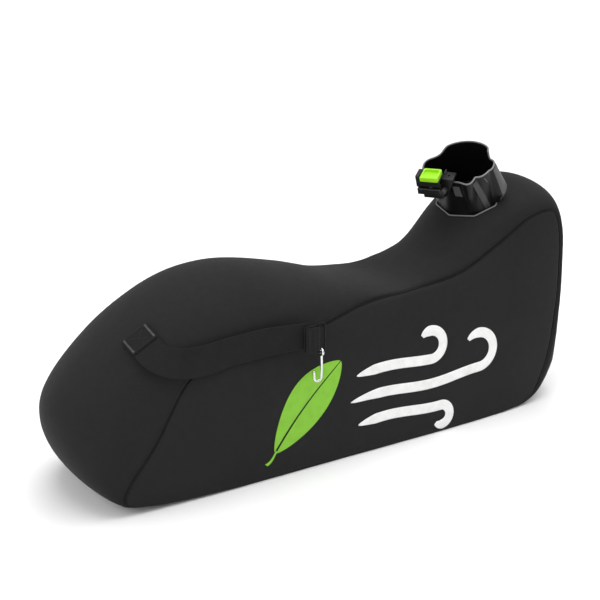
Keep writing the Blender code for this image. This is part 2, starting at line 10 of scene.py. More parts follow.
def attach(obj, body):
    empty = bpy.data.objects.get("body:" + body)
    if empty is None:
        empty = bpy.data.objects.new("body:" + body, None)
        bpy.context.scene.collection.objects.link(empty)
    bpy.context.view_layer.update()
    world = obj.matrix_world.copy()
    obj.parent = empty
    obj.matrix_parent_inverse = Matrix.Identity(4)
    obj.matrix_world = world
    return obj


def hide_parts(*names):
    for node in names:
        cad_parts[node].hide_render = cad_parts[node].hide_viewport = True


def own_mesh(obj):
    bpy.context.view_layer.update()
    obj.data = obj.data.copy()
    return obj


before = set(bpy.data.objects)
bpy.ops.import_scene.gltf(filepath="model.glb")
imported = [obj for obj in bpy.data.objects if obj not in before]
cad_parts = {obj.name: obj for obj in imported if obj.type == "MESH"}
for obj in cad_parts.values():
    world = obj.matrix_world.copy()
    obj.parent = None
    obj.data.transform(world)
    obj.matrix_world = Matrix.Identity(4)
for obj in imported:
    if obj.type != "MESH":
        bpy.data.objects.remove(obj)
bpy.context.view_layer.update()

# ---- the frame's dimensions, in metres
# stations round the bag: seam x, seam z, half width, crest x, crest z
STATIONS = [
    (-0.345, 0.008, 0.115, -0.340, 0.000),
    (-0.396, 0.030, 0.115, -0.440, 0.044),
    (-0.345, 0.112, 0.122, -0.466, 0.142),
    (-0.288, 0.198, 0.120, -0.389, 0.234),
    (-0.225, 0.213, 0.114, -0.288, 0.303),
    (-0.150, 0.216, 0.109, -0.187, 0.323),
    (-0.060, 0.228, 0.100, -0.070, 0.301),
    (0.030, 0.245, 0.088, 0.030, 0.268),
    (0.120, 0.249, 0.082, 0.120, 0.254),
    (0.215, 0.259, 0.080, 0.198, 0.290),
    (0.295, 0.297, 0.080, 0.272, 0.334),
    (0.355, 0.335, 0.085, 0.338, 0.376),
    (0.402, 0.338, 0.087, 0.412, 0.374),
    (0.420, 0.290, 0.090, 0.446, 0.290),
    (0.416, 0.175, 0.098, 0.446, 0.180),
    (0.393, 0.065, 0.105, 0.446, 0.070),
    (0.345, 0.008, 0.110, 0.370, 0.000),
    (0.200, 0.000, 0.115, 0.200, 0.000),
    (0.000, 0.000, 0.115, 0.000, 0.000),
    (-0.200, 0.000, 0.115, -0.200, 0.000),
]
COUNT = len(STATIONS)
NOSE_TOP, HEEL_TOP, HEEL_LOW = 3, 12, 16    # stations at the side panels' corners
TOP_RUN, HEEL_RUN = 9, 4    # stations along a side panel's top and heel
ROUNDNESS = 0.8             # power of the strip's cross section
HEEL_X = 0.446              # the heel's flat face
CLOTH = 0.0012              # cloth thickness

COLLAR_BASE = Vector((0.290, 0.0, 0.354))
COLLAR_TURN = Matrix.Rotation(math.radians(12), 4, "X") @ Matrix.Rotation(math.radians(-20), 4, "Y")
COLLAR_AXIS = (COLLAR_TURN @ Vector((0, 0, 1))).normalized()
COLLAR = Matrix.Translation(COLLAR_BASE) @ COLLAR_TURN
COLLAR_RADIUS, COLLAR_WALL = 0.049, 0.0025
BACK_HEIGHT, FRONT_HEIGHT = 0.085, 0.072
FLANGE_THICKNESS, NECK_RADIUS, NECK_TOP = 0.003, 0.044, 0.0048
COLLAR_POINTS = 300         # points round each ring of the collar
FOOT_RADIUS, SETTLE_OUTER = 0.049, 0.135    # between these the cloth falls away from the collar
SEAM_HOLD = 0.25            # share of the width, at a seam, that the collar doesn't draw in
FLANGE_LIFT = 0.0046        # the cloth facing lies over the collar's flange
GROOVE_DEPTH, GROOVE_WIDTH = 0.0028, 0.0032    # a side seam's groove

LATCH = (COLLAR @ Matrix.Translation((-0.0681, -0.0088, 0.0965))
         @ Matrix.Rotation(math.radians(-53), 4, "Z"))
LATCH_HALF = 0.0175
PIVOT = (0.006, -0.0165)    # the pin's y and z in the latch's own frame
PIN_RADIUS = 0.0018

STRAP_WIDTH, STRAP_THICKNESS = 0.044, 0.0020
# the strap's route: station, place across the bag from -1 to 1, height over the cloth
STRAP_ROUTE = [(3.385, -0.310, 0.0028), (3.310, -0.492, 0.0030), (3.240, -0.624, 0.0036),
               (3.230, -0.752, 0.0046), (3.330, -0.864, 0.0050), (3.590, -0.928, 0.0045),
               (3.950, -0.944, 0.0040), (4.300, -0.952, 0.0040), (4.850, -0.955, 0.0060),
               (5.250, -0.968, 0.0105), (5.600, -0.985, 0.0164)]
TAB_START = Vector((-0.103, -0.1285, 0.223))
TAB_LENGTH, TAB_HEIGHT = 0.021, 0.040
RING_WIRE, RING_REACH = 0.0015, 0.0125
HOOK_WIRE, HOOK_LENGTH, HOOK_BEND, HOOK_TIP = 0.0021, 0.036, 0.0062, 0.012

ZIP_LOW, ZIP_HIGH, ZIP_SLOT = 0.092, 0.276, 0.0046
SLIDER_Z = 0.262


# ---- camera, floor and light
def make_camera():
    data = bpy.data.cameras.new("camera")
    data.lens, data.sensor_width = 72, 36
    tilt_down, heading = 20.69, -30
    camera = bpy.data.objects.new("camera", data)
    camera.location = (-0.9337, -1.5511, 0.9106)
    camera.rotation_euler = (math.radians(90 - tilt_down), 0, math.radians(heading))
    bpy.context.scene.collection.objects.link(camera)
    bpy.context.scene.camera = camera


def make_stage():
    bm = bmesh.new()
    bmesh.ops.create_grid(bm, x_segments=1, y_segments=1, size=10.0)
    floor = add_piece("floor", bm)
    floor.data.materials.append(
        Nodes("floor_paint").set(Base_Color=(0.92, 0.92, 0.92), Roughness=0.9))
    world = bpy.data.worlds.new("studio")
    bpy.context.scene.world = world
    world.use_nodes = True
    sky = world.node_tree.nodes["Background"].inputs
    sky["Color"].default_value = (1.0, 1.0, 1.0, 1.0)
    sky["Strength"].default_value = 0.55
    bpy.context.scene.view_settings.view_transform = "Standard"
    add_light("overhead", (0.0, -0.2, 2.4), (0, 0, 0.1), 2.2, 38)
    add_light("front_left", (-2.2, -1.6, 1.7), (0.1, 0, 0.2), 1.6, 19)
    add_light("right", (2.3, -0.7, 1.7), (0.1, 0, 0.25), 1.4, 18)
    add_light("left_high", (-2.6, 0.1, 2.0), (0.2, 0, 0.3), 1.4, 17)
    backdrop = add_light("backdrop", (2.4, 4.4, 3.2), (2.4, 4.4, 0), 4.0, 190)
    backdrop.visible_glossy = False


def add_light(name, place, target, size, power):
    data = bpy.data.lights.new(name, "AREA")
    data.size, data.energy = size, power
    lamp = bpy.data.objects.new(name, data)
    lamp.location = place
    lamp.rotation_euler = (Vector(target) - Vector(place)).to_track_quat("-Z", "Y").to_euler()
    bpy.context.scene.collection.objects.link(lamp)
    return lamp


# ---- small helpers
def add_piece(name, bm, finish=None, smooth=None):
    mesh = bpy.data.meshes.new(name)
    bm.to_mesh(mesh)
    bm.free()
    if smooth is not None:
        mesh.shade_smooth()
        mesh.set_sharp_from_angle(angle=math.radians(smooth))
    piece = bpy.data.objects.new(name, mesh)
    bpy.context.scene.collection.objects.link(piece)
    if finish:
        mesh.materials.append(FINISH[finish])
    return piece


def settle_piece(piece, body, slot, *nodes):
    """Ride on a body and stand for the CAD nodes named; slot is not used."""
    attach(piece, body)
    if nodes:
        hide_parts(*nodes)
    return piece


def add_to_bag(name, bm, finish, smooth, slot, *nodes):
    return settle_piece(add_piece(name, bm, finish, smooth), "bag", slot, *nodes)


def even(count):
    """Shares from 0 to 1 at even steps."""
    return [i / count for i in range(count + 1)]


def full_turn(count):
    """Angles of count points round a circle, in radians."""
    return [2 * math.pi * i / count for i in range(count)]


def smoothstep(t):
    t = min(1.0, max(0.0, t))
    return t * t * (3 - 2 * t)


def block(low, high, bevel=0.0, segments=3):
    bm = bmesh.new()
    bmesh.ops.create_cube(bm, size=1.0)
    low, high = Vector(low), Vector(high)
    bmesh.ops.scale(bm, vec=high - low, verts=bm.verts)
    bmesh.ops.translate(bm, vec=(low + high) / 2, verts=bm.verts)
    if bevel:
        bmesh.ops.bevel(bm, geom=bm.edges[:], offset=bevel, segments=segments, profile=0.5,
                        affect="EDGES", material=-1)
    return bm


def rod(start, end, radius, sides=32, bevel=0.0):
    start, end = Vector(start), Vector(end)
    bm = bmesh.new()
    turn = (end - start).to_track_quat("Z", "Y").to_matrix().to_4x4()
    bmesh.ops.create_cone(bm, cap_ends=True, segments=sides, radius1=radius, radius2=radius,
                          depth=(end - start).length,
                          matrix=Matrix.Translation((start + end) / 2) @ turn)
    if bevel:
        rims = [e for e in bm.edges if len(e.link_faces) == 2
                and any(len(f.verts) > 4 for f in e.link_faces)]
        bmesh.ops.bevel(bm, geom=rims, offset=bevel, segments=2, profile=0.5, affect="EDGES",
                        material=-1)
    return bm


def merged(*parts):
    whole = bmesh.new()
    for part in parts:
        mesh = bpy.data.meshes.new("part")
        part.to_mesh(mesh)
        part.free()
        whole.from_mesh(mesh)
        bpy.data.meshes.remove(mesh)
    return whole


def moved(bm, matrix):
    bmesh.ops.transform(bm, matrix=matrix, verts=bm.verts)
    return bm


def skin(rings, closed=False):
    """A grid wrapped over a row of equal rings; without closed, both ends are capped."""
    count, rows = len(rings[0]), list(rings) + ([rings[0]] if closed else [])
    bm = bmesh.new()
    bmesh.ops.create_grid(bm, x_segments=count, y_segments=len(rows) - 1, size=0.5)
    for vert in bm.verts:
        around, along = (vert.co.x + 0.5) * count, (vert.co.y + 0.5) * (len(rows) - 1)
        vert.co = rows[round(along)][round(around) % count]
    bmesh.ops.remove_doubles(bm, verts=bm.verts, dist=1e-7)
    if not closed:
        bmesh.ops.holes_fill(bm, edges=[edge for edge in bm.edges if edge.is_boundary], sides=0)
    bmesh.ops.recalc_face_normals(bm, faces=bm.faces)
    return bm


def wire(points, radius, sides=16, closed=False):
    """A round wire along a path, its sections square to it. radius may vary along the path."""
    points = [Vector(p) for p in points]
    last = len(points) - 1
    radii = radius if hasattr(radius, "__len__") else [radius] * len(points)
    rings, side = [], None
    for i, point in enumerate(points):
        before = points[i - 1] if (i or closed) else point
        after = points[(i + 1) % len(points)] if (i < last or closed) else point
        along = (after - before).normalized()
        side = along.orthogonal() if side is None else side - along * side.dot(along)
        side.normalize()
        up = along.cross(side)
        rings.append([point + (side * math.cos(t) + up * math.sin(t)) * radii[i]
                      for t in full_turn(sides)])
    return skin(rings, closed)


def arc(centre, radius, start, end, steps):
    turns = [math.radians(start + (end - start) * i / steps) for i in range(steps + 1)]
    return [Vector((centre[0] + radius * math.cos(t), centre[1], centre[2] + radius * math.sin(t)))
            for t in turns]


def catmull_rom(a, b, c, d, t):
    return 0.5 * (2 * b + (c - a) * t + (2 * a - 5 * b + 4 * c - d) * t * t
                  + (3 * b - a - 3 * c + d) * t ** 3)


def curve_at(rows, share):
    """A point of the smooth curve through rows, for a share of its length from 0 to 1."""
    place = share * (len(rows) - 1)
    i = min(int(place), len(rows) - 2)
    near = [rows[max(0, i - 1)], rows[i], rows[i + 1], rows[min(len(rows) - 1, i + 2)]]
    return tuple(catmull_rom(*column, place - i) for column in zip(*near))


# ---- materials
class Nodes:
    """Builds a material's node tree with short calls."""

    def __init__(self, name):
        self.material = bpy.data.materials.new(name)
        self.material.use_nodes = True
        self.tree = self.material.node_tree
        self.shader = self.tree.nodes["Principled BSDF"]

    def add(self, kind, **values):
        node = self.tree.nodes.new(kind)
        for key, value in values.items():
            if key in node.inputs:
                node.inputs[key].default_value = value
            else:
                setattr(node, key, value)
        return node

    def link(self, source, target):
        self.tree.links.new(source, target)

    def math(self, operation, first, second=None):
        node = self.add("ShaderNodeMath", operation=operation)
        for socket, value in zip(node.inputs, (first, second)):
            if value is None:
                continue
            if isinstance(value, (int, float)):
                socket.default_value = value
            else:
                self.link(value, socket)
        return node.outputs[0]

    def place(self):
        return self.add("ShaderNodeTexCoord").outputs["Object"]

    def noise(self, vector, scale, detail=3.0, roughness=0.5):
        node = self.add("ShaderNodeTexNoise", Scale=scale, Detail=detail, Roughness=roughness)
        self.link(vector, node.inputs["Vector"])
        return node.outputs["Fac"]

    def ramp(self, value, stops):
        node = self.add("ShaderNodeValToRGB")
        elements = node.color_ramp.elements
        while len(elements) < len(stops):
            elements.new(0.5)
        for element, (place, colour) in zip(elements, stops):
            element.position = place
            element.color = (*colour, 1.0)
        self.link(value, node.inputs["Fac"])
        return node.outputs["Color"]

    def spread(self, value, low, high):
        node = self.add("ShaderNodeMapRange")
        node.inputs["To Min"].default_value = low
        node.inputs["To Max"].default_value = high
        self.link(value, node.inputs["Value"])
        return node.outputs["Result"]

    def bump(self, height, strength, distance, below=None):
        node = self.add("ShaderNodeBump", Strength=strength, Distance=distance)
        self.link(height, node.inputs["Height"])
        if below:
            self.link(below, node.inputs["Normal"])
        return node.outputs["Normal"]

    def set(self, **values):
        for key, value in values.items():
            socket = self.shader.inputs[key.replace("_", " ")]
            if isinstance(value, (int, float, tuple)):
                socket.default_value = (*value, 1.0) if isinstance(value, tuple) else value
            else:
                self.link(value, socket)
        return self.material


def woven(name, dark, light, pitch, relief, sheen=0.028, rib=False):
    """Plain-woven yarn on the piece's own UV map, which is in metres."""
    n = Nodes(name)
    uv = n.add("ShaderNodeUVMap", uv_map="weave").outputs["UV"]
    split = n.add("ShaderNodeSeparateXYZ")
    n.link(uv, split.inputs["Vector"])
    turns = 2 * math.pi / (2 * pitch)      # a yarn over and a yarn under
    across = n.math("MULTIPLY", split.outputs["X"], turns)
    along = n.math("MULTIPLY", split.outputs["Y"], turns * (0.35 if rib else 1.0))
    warp = n.math("SINE", across)
    weft = n.math("SINE", along)
    over = n.math("MULTIPLY", warp, weft)
    crowns = n.math("ADD", n.math("ABSOLUTE", n.math("COSINE", across)),
                    n.math("ABSOLUTE", n.math("COSINE", along)))
    height = n.math("ADD", n.math("MULTIPLY", over, 0.5), n.math("MULTIPLY", crowns, 0.35))
    place = n.place()
    broad = n.noise(place, 7.0, 4.0)
    fine = n.noise(place, 420.0, 2.0)
    mix = n.math("ADD", n.math("MULTIPLY", broad, 0.55), n.math("MULTIPLY", fine, 0.45))
    colour = n.ramp(mix, [(0.3, dark), (0.7, light)])
    slow = n.bump(n.noise(place, 38.0, 4.0), 0.10, 0.002)
    normal = n.bump(height, relief, pitch * 0.35, slow)
    rough = n.spread(n.noise(place, 90.0, 3.0), 0.72, 0.9)
    return n.set(Base_Color=colour, Roughness=rough, Normal=normal, Sheen_Weight=sheen,
                 Sheen_Roughness=0.5, Specular_IOR_Level=0.16)


def cloth(name, dark, light):
    """Fine twisted yarn for narrow trims, on Object coordinates."""
    n = Nodes(name)
    place = n.place()
    colour = n.ramp(n.noise(place, 240.0, 3.0), [(0.3, dark), (0.7, light)])
    twist = n.add("ShaderNodeTexWave", Scale=620.0, Distortion=1.2)
    n.link(place, twist.inputs["Vector"])
    normal = n.bump(twist.outputs["Fac"], 0.35, 0.0003)
    return n.set(Base_Color=colour, Roughness=0.86, Normal=normal, Sheen_Weight=0.05,
                 Specular_IOR_Level=0.3)


def plastic(name, dark, light, low, high, grain, specular=0.4):
    """Moulded plastic: slight colour drift, fine spark texture and a few soft scuffs."""
    n = Nodes(name)
    place = n.place()
    colour = n.ramp(n.noise(place, 26.0, 4.0), [(0.35, dark), (0.75, light)])
    scuffs = n.noise(place, 170.0, 6.0, 0.7)
    rough = n.spread(scuffs, low, high)
    spark = n.bump(n.noise(place, 2600.0, 2.0), grain, 0.0002)
    normal = n.bump(n.noise(place, 60.0, 3.0), 0.05, 0.001, spark)
    return n.set(Base_Color=colour, Roughness=rough, Normal=normal, Specular_IOR_Level=specular)


def metal(name, colour, low, high, brush):
    n = Nodes(name)
    place = n.place()
    stretch = n.add("ShaderNodeMapping", Scale=brush)
    n.link(place, stretch.inputs["Vector"])
    marks = n.noise(stretch.outputs["Vector"], 220.0, 4.0)
    duller = tuple(c * 0.82 for c in colour)
    tone = n.ramp(n.noise(place, 120.0, 3.0), [(0.3, duller), (0.7, colour)])
    rough = n.spread(marks, low, high)
    normal = n.bump(marks, 0.08, 0.0002)
    return n.set(Base_Color=tone, Roughness=rough, Metallic=1.0, Normal=normal)


def ink(name, colour):
    """Screen-printed ink lying on the cloth: the weave shows through a little."""
    n = Nodes(name)
    place = n.place()
    worn = n.noise(place, 60.0, 5.0, 0.6)
    tone = n.ramp(worn, [(0.25, tuple(c * 0.86 for c in colour)), (0.6, colour)])
    wave = n.add("ShaderNodeTexWave", Scale=300.0, Distortion=0.4)
    n.link(place, wave.inputs["Vector"])
    normal = n.bump(wave.outputs["Fac"], 0.12, 0.0002)
    return n.set(Base_Color=tone, Roughness=0.62, Normal=normal)


FINISH = {
    "panel_fabric": woven("panel_fabric_weave", (0.0105, 0.0105, 0.0108),
                          (0.0150, 0.0150, 0.0154), 0.00055, 0.45),
    "black_webbing": woven("strap_weave", (0.0075, 0.0075, 0.0078), (0.0125, 0.0125, 0.0130),
                           0.0007, 0.7, rib=True),
    "thread_cloth": cloth("binding_cloth", (0.0075, 0.0075, 0.0078), (0.0120, 0.0120, 0.0123)),
    "plain_webbing": cloth("tape_cloth", (0.0085, 0.0085, 0.0088), (0.0135, 0.0135, 0.0138)),
    "thread": cloth("dark_thread", (0.0080, 0.0080, 0.0082), (0.0130, 0.0130, 0.0133)),
    # the seam's thread, near black to paint the shade in the groove
    "seam_thread_and_shade": cloth("seam_thread_and_shade", (0.0012, 0.0012, 0.0012), (0.0022, 0.0022, 0.0022)),
    "grey_thread": cloth("grey_thread", (0.020, 0.020, 0.020), (0.034, 0.034, 0.035)),
    "pale_thread": cloth("pale_thread", (0.055, 0.055, 0.056), (0.095, 0.095, 0.097)),
    "collar_plastic": plastic("collar_moulding", (0.0035, 0.0035, 0.0037),
                              (0.0055, 0.0055, 0.0058), 0.26, 0.38, 0.10, 0.22),
    # painted highlight: a softer pale plastic for the collar's front rib, the bracket's barrel and
    # the hole's lip
    "soft_highlight_plastic": plastic("painted_soft_highlight", (0.030, 0.030, 0.031), (0.042, 0.042, 0.043),
                             0.34, 0.46, 0.15),
    # painted highlight: paler plastic for faces of the collar and latch that catch the light
    "face_highlight_plastic": plastic("painted_face_highlight", (0.060, 0.060, 0.061), (0.080, 0.080, 0.082),
                           0.34, 0.46, 0.12),
    # painted highlight: pale plastic for the lines where the collar's rim and foot catch the light
    "edge_highlight_plastic": plastic("painted_edge_highlight", (0.13, 0.13, 0.132), (0.20, 0.20, 0.203),
                            0.35, 0.5, 0.15),
    "latch_plastic": plastic("latch_moulding", (0.0045, 0.0045, 0.0047),
                             (0.0075, 0.0075, 0.0078), 0.34, 0.48, 0.25),
    # painted shade: near-black matt plastic for the collar's inside and the bracket's hole
    "painted_shade_plastic": plastic("painted_shade_moulding", (0.002, 0.002, 0.002), (0.003, 0.003, 0.003),
                      0.6, 0.7, 0.1, 0.06),
    "lime_plastic": plastic("lime_moulding", (0.27, 0.62, 0.008), (0.33, 0.70, 0.014),
                            0.26, 0.38, 0.06),
    "bright_steel": metal("bright_plate", (0.80, 0.80, 0.81), 0.12, 0.26, (1, 1, 6)),
    "black_steel": metal("blackened_wire", (0.020, 0.020, 0.021), 0.30, 0.45, (1, 1, 5)),
    "zip_metal": metal("dark_nickel", (0.26, 0.26, 0.28), 0.25, 0.42, (1, 1, 5)),
    "lime_print": ink("lime_ink", (0.21, 0.52, 0.022)),
    "white_print": ink("white_ink", (0.86, 0.86, 0.85)),
}


# ---- the bag's surface
def station_at(u):
    i = math.floor(u)
    rows = [STATIONS[(i + k) % COUNT] for k in (-1, 0, 1, 2)]
    seam_x, seam_z, half_width, crest_x, crest_z = (
        catmull_rom(*column, u - i) for column in zip(*rows))
    return seam_x, max(seam_z, 0.0), half_width, min(crest_x, HEEL_X), max(crest_z, 0.0)


def from_collar(point):
    """A point's height along the collar's axis and its distance from it."""
    offset = point - COLLAR_BASE
    height = offset.dot(COLLAR_AXIS)
    return height, (offset - COLLAR_AXIS * height).length


def settle(point):
    """The cloth lies on the collar's foot and falls away from it at once."""
    height, radius = from_collar(point)
    if abs(height) > SETTLE_OUTER or radius > SETTLE_OUTER:
        return point
    away = min(1.0, max(0.0, (radius - FOOT_RADIUS) / (SETTLE_OUTER - FOOT_RADIUS)))
    hold = (1 - away) ** 2 * (1 + 0.6 * away)
    cover = FLANGE_LIFT * (1 - smoothstep((radius - FOOT_RADIUS) / 0.022))
    return point + COLLAR_AXIS * (cover - height * hold)


def top_point(u, v):
    seam_x, seam_z, half_width, crest_x, crest_z = station_at(u)
    rise = max(0.0, math.cos(v * math.pi / 2)) ** ROUNDNESS
    point = Vector((seam_x + (crest_x - seam_x) * rise, half_width * math.sin(v * math.pi / 2),
                    seam_z + (crest_z - seam_z) * rise))
    return point.lerp(settle(point), smoothstep((1 - abs(v)) / SEAM_HOLD))


def top_normal(u, v):
    step = 0.02
    return (top_point(u + step, v) - top_point(u - step, v)).cross(
        top_point(u, v + step) - top_point(u, v - step)).normalized()


def seam_point(u, side):
    seam_x, seam_z, half_width = station_at(u)[:3]
    return Vector((seam_x, side * half_width, seam_z))


def inward(u):
    step = 0.05
    along = seam_point(u + step, 0) - seam_point(u - step, 0)
    return Vector((along.z, 0, -along.x)).normalized()


def seam_dive(point, u, side, distance):
    """Draw a panel's edge down into the seam, and pucker it a little beside the stitches."""
    inside = (inward(u) * 0.5 - Vector((0, side, 0))).normalized()
    drop = GROOVE_DEPTH * math.exp(-(distance / GROOVE_WIDTH) ** 2)
    near = math.exp(-distance / 0.018)
    place = seam_point(u, side)
    pucker = noise.noise(place * 75) * 0.00055 + noise.noise(place * 22) * 0.0009
    return point + inside * (drop + pucker * near * min(1.0, distance / 0.004))


def sag(point, scale=0.0014):
    """Broad, faint unevenness of filled cloth; none at the base and the collar."""
    lift = smoothstep(point.z / 0.05)
    away = smoothstep(((point - COLLAR_BASE).length - 0.075) / 0.08)
    return noise.noise(point * 7.5 + Vector((3, 1, 7))) * scale * lift * away


def edge_weighted(count, share=0.6):
    """Grid lines from 0 to 1 that lie closer together towards both ends."""
    return [t + (0.5 - 0.5 * math.cos(math.pi * t) - t) * share for t in even(count)]


def mapped_grid(u_lines, v_lines, place, weave):
    """A grid with a line at each u and v; place gives a point, weave its UV in metres."""
    bm = bmesh.new()
    columns, rows = len(u_lines) - 1, len(v_lines) - 1
    bmesh.ops.create_grid(bm, x_segments=columns, y_segments=rows, size=1.0)
    layer = bm.loops.layers.uv.new("weave")
    spots = {}
    for vert in bm.verts:
        i = round((vert.co.x + 1) / 2 * columns)
        j = round((vert.co.y + 1) / 2 * rows)
        spots[vert] = (u_lines[i], v_lines[j])
    for face in bm.faces:
        for loop in face.loops:
            loop[layer].uv = weave(*spots[loop.vert])
    for vert, spot in spots.items():
        vert.co = place(*spot)
    return bm


def find_station(start, end, z):
    """The station between two others where the heel's crest has height z."""
    for _ in range(30):
        middle = (start + end) / 2
        if station_at(middle)[4] > z:
            start = middle
        else:
            end = middle
    return (start + end) / 2


def add_cloth(name, bm, finish, thickness, slot, *nodes):
    """A sheet with its thickness, laid inwards from the face it is drawn with."""
    piece = add_piece(name, bm, finish, 60)
    wall = piece.modifiers.new("thickness", "SOLIDIFY")
    wall.thickness = thickness
    wall.offset = -1
    return settle_piece(piece, "bag", slot, *nodes)


def make_strip():
    """The one strip of cloth that runs right round the bag between the two side seams."""
    zip_top, zip_low = find_station(12.5, 14.5, ZIP_HIGH), find_station(14, 15.6, ZIP_LOW)
    u_lines = sorted([i * COUNT / 420 for i in range(421)
                      if min(abs(i * COUNT / 420 - z) for z in (zip_top, zip_low)) > 0.02]
                     + [zip_top, zip_low])
    half = [1 - (1 - t) ** 1.7 for t in even(26)]
    v_lines = sorted({round(s * (0.03 + 0.97 * t), 6) for t in half for s in (-1, 1)} | {0.0})
    lengths = [0.0]
    for a, b in zip(u_lines, u_lines[1:]):
        lengths.append(lengths[-1] + (top_point(b, 0.5) - top_point(a, 0.5)).length)
    run = dict(zip(u_lines, lengths))

    def place(u, v):
        side = math.copysign(1, v)
        point = top_point(u, v)
        if zip_top <= u <= zip_low and 0.025 < abs(v) < 0.035:
            point.y = side * ZIP_SLOT
        distance = (point - seam_point(u, side)).length
        crest = abs(v) < 0.5
        crest_x, crest_z = station_at(u)[3:]
        out = Vector((crest_x - 0.02, 0, crest_z - 0.13)).normalized()
        flat = zip_top - 0.4 < u < zip_low + 0.4
        push = 0.0 if flat else sag(point, 0.0016 if crest else 0.001)
        return seam_dive(point + out * push, u, side, distance)

    bm = mapped_grid(u_lines, v_lines, place, lambda u, v: (run[u], station_at(u)[2] * v * 1.35))
    gone = []
    for face in bm.faces:
        middle = face.calc_center_median()
        height, radius = from_collar(middle)
        under = radius < 0.0465 and abs(height) < 0.03
        slot = middle.x > 0.43 and abs(middle.y) < ZIP_SLOT and ZIP_LOW < middle.z < ZIP_HIGH
        if under or slot:
            gone.append(face)
    bmesh.ops.delete(bm, geom=gone, context="FACES")
    bmesh.ops.remove_doubles(bm, verts=bm.verts, dist=0.00005)
    strip = add_cloth("bag_strip", bm, "panel_fabric", CLOTH, "panel_fabric", "nose_panel",
                      "top_panel", "collar_panel", "heel_panel", "base_panel")


def side_point(side, s, t):
    """A point of a side panel: s runs from nose to heel, t from base to top."""
    low = seam_point(COUNT - (COUNT - HEEL_LOW) * s, side)
    high = seam_point(NOSE_TOP + TOP_RUN * s, side)
    left, right = seam_point(NOSE_TOP * t, side), seam_point(HEEL_LOW - HEEL_RUN * t, side)
    corners = [seam_point(u, side) for u in (0, NOSE_TOP, HEEL_LOW, HEEL_TOP)]
    point = low * (1 - t) + high * t + left * (1 - s) + right * s
    point -= ((corners[0] * (1 - t) + corners[1] * t) * (1 - s)
              + (corners[2] * (1 - t) + corners[3] * t) * s)
    distance = min((point - edge).length for edge in (low, high, left, right))
    fullness = (math.sin(math.pi * s) ** 0.6) * (math.sin(math.pi * t) ** 0.6)
    point.y += side * (0.012 * fullness + sag(point) * smoothstep(distance / 0.03))
    return point, distance


def make_side(name, side):
    def place(s, t):
        point, distance = side_point(side, s, t)
        return seam_dive(point, nearest_seam(s, t), side, distance)

    bm = mapped_grid(edge_weighted(230), edge_weighted(84), place,
                     lambda s, t: (s * 0.8, t * 0.26))
    if side > 0:
        bmesh.ops.reverse_faces(bm, faces=bm.faces)
    panel = add_cloth(f"side_cloth_{name}", bm, "panel_fabric", CLOTH, "panel_fabric",
                      f"side_panel_{name}")


def nearest_seam(s, t):
    """The station on the seam loop nearest to a place on the side panel."""
    tall, long = 0.25, 0.8
    options = ((t * tall, COUNT - (COUNT - HEEL_LOW) * s), ((1 - t) * tall, NOSE_TOP + TOP_RUN * s),
               (s * long, NOSE_TOP * t), ((1 - s) * long, HEEL_LOW - HEEL_RUN * t))
    return min(options)[1]


def seam_stitches(name, side):
    """Topstitching beside a side seam, on the strip of cloth."""
    rows, inset, pitch = [], 0.0062, 0.0042
    u, steps = 0.0, []
    while u < COUNT:
        start = strip_beside_seam(u, side, inset)
        ahead = strip_beside_seam(u + 0.02, side, inset)
        speed = (ahead - start).length / 0.02
        steps.append(u)
        u += pitch / max(speed, 0.02)
    for u, following in zip(steps, steps[1:]):
        middle = u + (following - u) * 0.72
        rows.append([strip_beside_seam(w, side, inset) for w in (u, (u + middle) / 2, middle)])
    add_stitches(name, rows, [top_normal(u, side * 0.93) for u in steps], 0.00028)


def seam_cord(name, side):
    """The near-black line at the bottom of a side seam's groove: the thread, darker than the cloth to
    paint the groove's shade.
    """
    steps = [COUNT * i / 900 for i in range(900)]
    points = []
    for u in steps:
        inside = (inward(u) * 0.5 - Vector((0, side, 0))).normalized()
        points.append(seam_point(u, side) + inside * GROOVE_DEPTH * 0.55)
    add_to_bag(name, wire(points, 0.0010, 8, True), "seam_thread_and_shade", 60, "panel_fabric")


def strip_beside_seam(u, side, inset):
    """A point on the strip a little way in from its seam."""
    edge = seam_point(u, side)
    v = side * 0.93
    near = top_point(u, v)
    for _ in range(3):
        distance = max((near - edge).length, 0.001)
        v = side * (1 - (1 - abs(v)) * inset / distance)
        v = side * min(max(abs(v), 0.5), 0.9999)
        near = top_point(u, v)
    return seam_dive(near, u, side, (near - edge).length)


def add_stitches(name, rows, lifts, radius, finish="thread", slot="panel_fabric"):
    """Short arched stitches, each with its ends sunk in the cloth."""
    stitches = []
    for (start, middle, end), lift in zip(rows, lifts):
        path = [start - lift * radius * 1.5, start.lerp(middle, 0.3) + lift * radius,
                middle + lift * radius * 1.5, end.lerp(middle, 0.3) + lift * radius,
                end - lift * radius * 1.5]
        stitches.append(wire(path, [radius * 0.8, radius, radius, radius, radius * 0.8], sides=5))
    add_to_bag(name, merged(*stitches), finish, 50, slot)


# ---- the collar
def swell(angle, centre, width, power=2):
    off = (math.degrees(angle) - centre + 180) % 360 - 180
    return math.exp(-abs(off / width) ** power)


def collar_outline(angle):
    pocket = 0.020 * swell(angle, 142, 30, power=4)
    lobe = 0.0085 * swell(angle, -119, 11)
    flutes = 0.0045 * swell(angle, -100, 7) + 0.005 * swell(angle, -22, 11)
    return COLLAR_RADIUS + pocket + lobe - flutes


def boss_reach(angle, height):
    under = 0.006 + 0.62 * (height - FLANGE_THICKNESS)
    over = 0.0234 - 0.29 * height
    return max(0.0, min(under, over)) * swell(angle, -45, 19, power=8)


def rim_height(angle):
    """High at the back; a sharp step on the right and a long sweep down on the left."""
    off = (math.degrees(angle) - 41 + 180) % 360 - 180
    fall = smoothstep((off - 43) / 33) if off > 0 else min(1.0, max(0.0, (-off - 63) / 4))
    return BACK_HEIGHT + (FRONT_HEIGHT - BACK_HEIGHT) * fall


